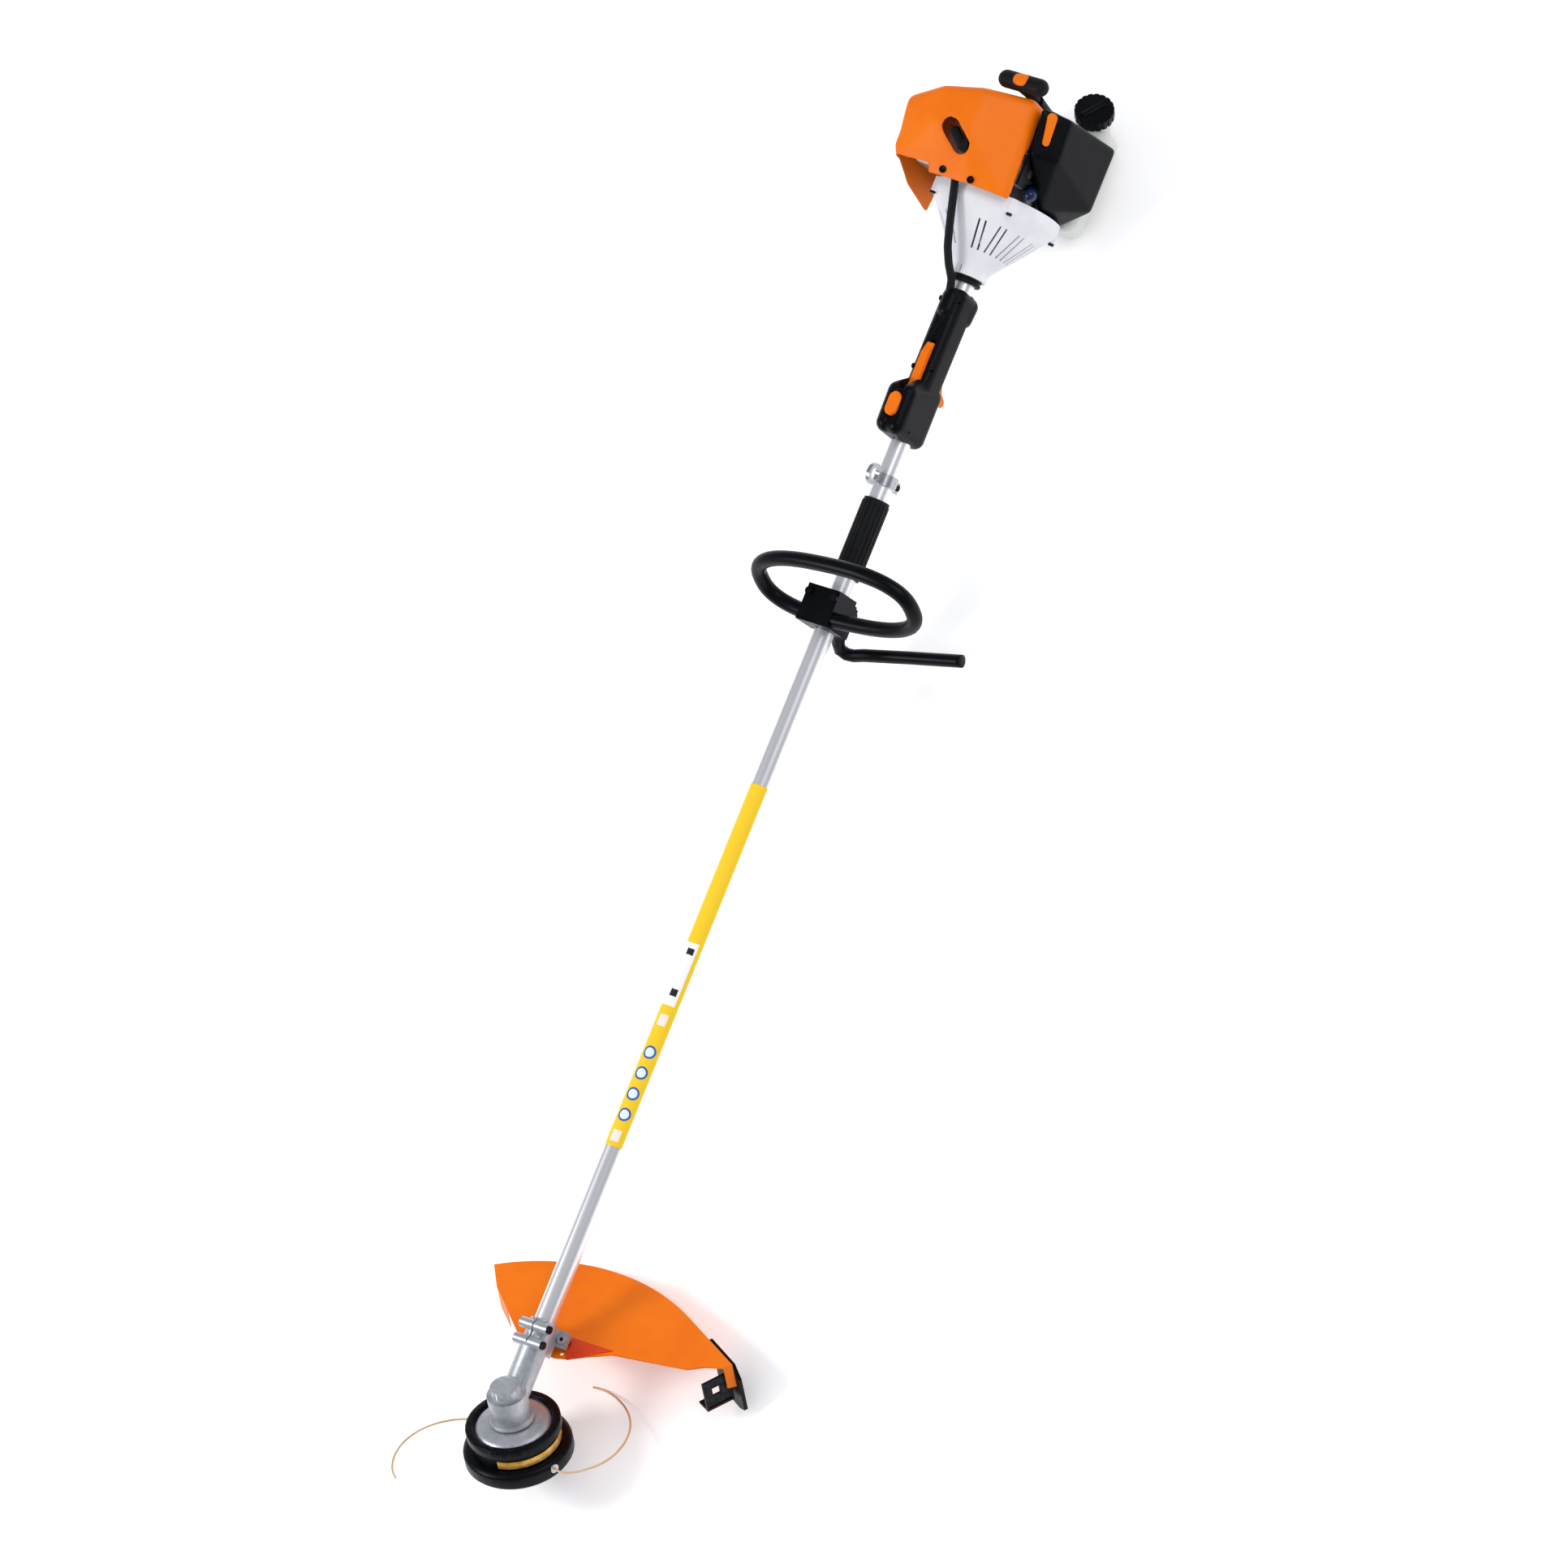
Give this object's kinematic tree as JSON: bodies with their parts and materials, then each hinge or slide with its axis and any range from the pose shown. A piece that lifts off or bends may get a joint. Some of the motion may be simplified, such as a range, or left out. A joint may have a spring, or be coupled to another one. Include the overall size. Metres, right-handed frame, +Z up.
{
  "type": "brush cutter",
  "caption": "Petrol brush cutter with a loop handle, straight drive tube, orange engine shroud and deflector, and a two-line mowing head.",
  "frame": {"origin": "middle of the flat sole of the tank foot, on which the machine lies at rest", "axes": "+X along the drive tube towards the engine, +Z up, so -Y is the operator's left"},
  "size_m": [1.8526, 0.3773, 0.2629],
  "materials": {
    "white_plastic": "moulded, satin",
    "tank_plastic": "translucent polyethylene",
    "orange_plastic": "moulded, semi-gloss",
    "black_plastic": "moulded, satin",
    "black_rubber": "matt rubber",
    "cast_aluminium": "die cast, blasted",
    "tube_aluminium": "drawn and anodised",
    "steel": "machined steel",
    "dark_steel": "blackened",
    "ceramic": "glazed",
    "paper": "pleated paper",
    "bush_nylon": "natural nylon",
    "rope": "braided cord",
    "line_nylon": "extruded nylon",
    "primer_rubber": "translucent rubber"
  },
  "bodies": {
    "machine": {"fan_housing": "white_plastic", "crankcase": "cast_aluminium", "cylinder": "cast_aluminium", "spark_plug": "ceramic", "plug_boot": "black_rubber", "piston": "cast_aluminium", "connecting_rod": "steel", "crankshaft": "steel", "flywheel": "cast_aluminium", "ignition_module": "black_plastic", "clutch_rotor": "steel", "carburetor": "cast_aluminium", "filter_base": "black_plastic", "air_filter": "paper", "filter_cover": "black_plastic", "muffler": "steel", "engine_shroud": "orange_plastic", "fuel_tank": "tank_plastic", "tank_guard": "black_plastic", "starter_housing": "black_plastic", "screws": "dark_steel", "drive_tube": "tube_aluminium", "shaft_bushes": "bush_nylon", "handle_left": "black_plastic", "handle_right": "black_plastic", "throttle_cable": "black_rubber", "carry_eyelet": "steel", "grip_sleeve": "black_rubber", "loop_handle": "black_plastic", "loop_clamp": "black_plastic", "barrier_bar": "black_plastic", "gear_case": "cast_aluminium", "gear_bearings": "steel", "deflector": "orange_plastic", "deflector_clamp": "cast_aluminium", "deflector_skirt": "black_plastic", "line_knife": "dark_steel"},
    "mowing_head": {"head_housing": "black_plastic", "head_base": "black_plastic", "line_eyelets": "steel", "line_left": "line_nylon", "line_right": "line_nylon", "output_spindle": "steel", "crown_gear": "steel", "thrust_plate": "cast_aluminium"},
    "bump_feed": {"line_spool": "black_plastic", "bump_knob": "black_plastic"},
    "drive_shaft": {"drive_shaft": "steel", "pinion": "steel", "clutch_drum": "steel"},
    "throttle_trigger": {"throttle_trigger": "orange_plastic"},
    "throttle_lockout": {"throttle_lockout": "orange_plastic"},
    "stop_button": {"stop_button": "orange_plastic"},
    "choke_knob": {"choke_knob": "orange_plastic"},
    "primer_bulb": {"primer_bulb": "primer_rubber"},
    "fuel_cap": {"fuel_cap": "black_plastic"},
    "starter_grip": {"starter_grip": "black_rubber", "starter_rope": "rope"},
    "starter_pulley": {"starter_pulley": "bush_nylon"}
  },
  "joints": [
    {"name": "head_spin", "type": "hinge", "parent": "machine", "child": "mowing_head", "pos_m": [-1.617, 0, 0.125], "axis": [0.5736, 0, 0.8192], "continuous": true},
    {"name": "bump_feed", "type": "slide", "parent": "mowing_head", "child": "bump_feed", "axis": [0.5736, 0, 0.8192], "range_m": [0, 0.004], "stiffness_N_per_m": 2500},
    {"name": "drive_shaft_spin", "type": "hinge", "parent": "machine", "child": "drive_shaft", "pos_m": [-1.617, 0, 0.125], "axis": [1, 0, 0], "continuous": true},
    {"name": "throttle_trigger", "type": "hinge", "parent": "machine", "child": "throttle_trigger", "pos_m": [-0.269, 0, 0.107], "axis": [0, 1, 0], "range_deg": [0, 12], "stiffness_Nm_per_rad": 0.6},
    {"name": "throttle_lockout", "type": "hinge", "parent": "machine", "child": "throttle_lockout", "pos_m": [-0.257, 0, 0.143], "axis": [0, -1, 0], "range_deg": [0, 4], "stiffness_Nm_per_rad": 2},
    {"name": "stop_button", "type": "slide", "parent": "machine", "child": "stop_button", "axis": [0, 0, -1], "range_m": [0, 0.0025], "stiffness_N_per_m": 800},
    {"name": "choke_knob", "type": "hinge", "parent": "machine", "child": "choke_knob", "pos_m": [0.023, -0.077, 0.2038], "axis": [-0.1639, -0.712, 0.6828], "range_deg": [0, 20]},
    {"name": "primer_bulb", "type": "slide", "parent": "machine", "child": "primer_bulb", "axis": [0.4924, 0.6428, -0.5868], "range_m": [0, 0.005], "stiffness_N_per_m": 600},
    {"name": "fuel_cap", "type": "hinge", "parent": "machine", "child": "fuel_cap", "pos_m": [0.086, -0.04, 0.065], "axis": [0.4373, -0.2424, 0.866], "range_deg": [0, 90]},
    {"name": "starter_pull", "type": "slide", "parent": "machine", "child": "starter_grip", "axis": [0.2079, 0, 0.9781], "range_m": [0, 0.06], "stiffness_N_per_m": 60},
    {"name": "starter_pulley", "type": "hinge", "parent": "machine", "child": "starter_pulley", "pos_m": [0.044, 0, 0.125], "axis": [1, 0, 0], "range_deg": [-120, 0]}
  ],
  "couplings": [
    {"joint": "drive_shaft_spin", "follows": "head_spin", "ratio": 1.4},
    {"joint": "starter_pulley", "follows": "starter_pull", "rad_per_m": -31.496}
  ]
}
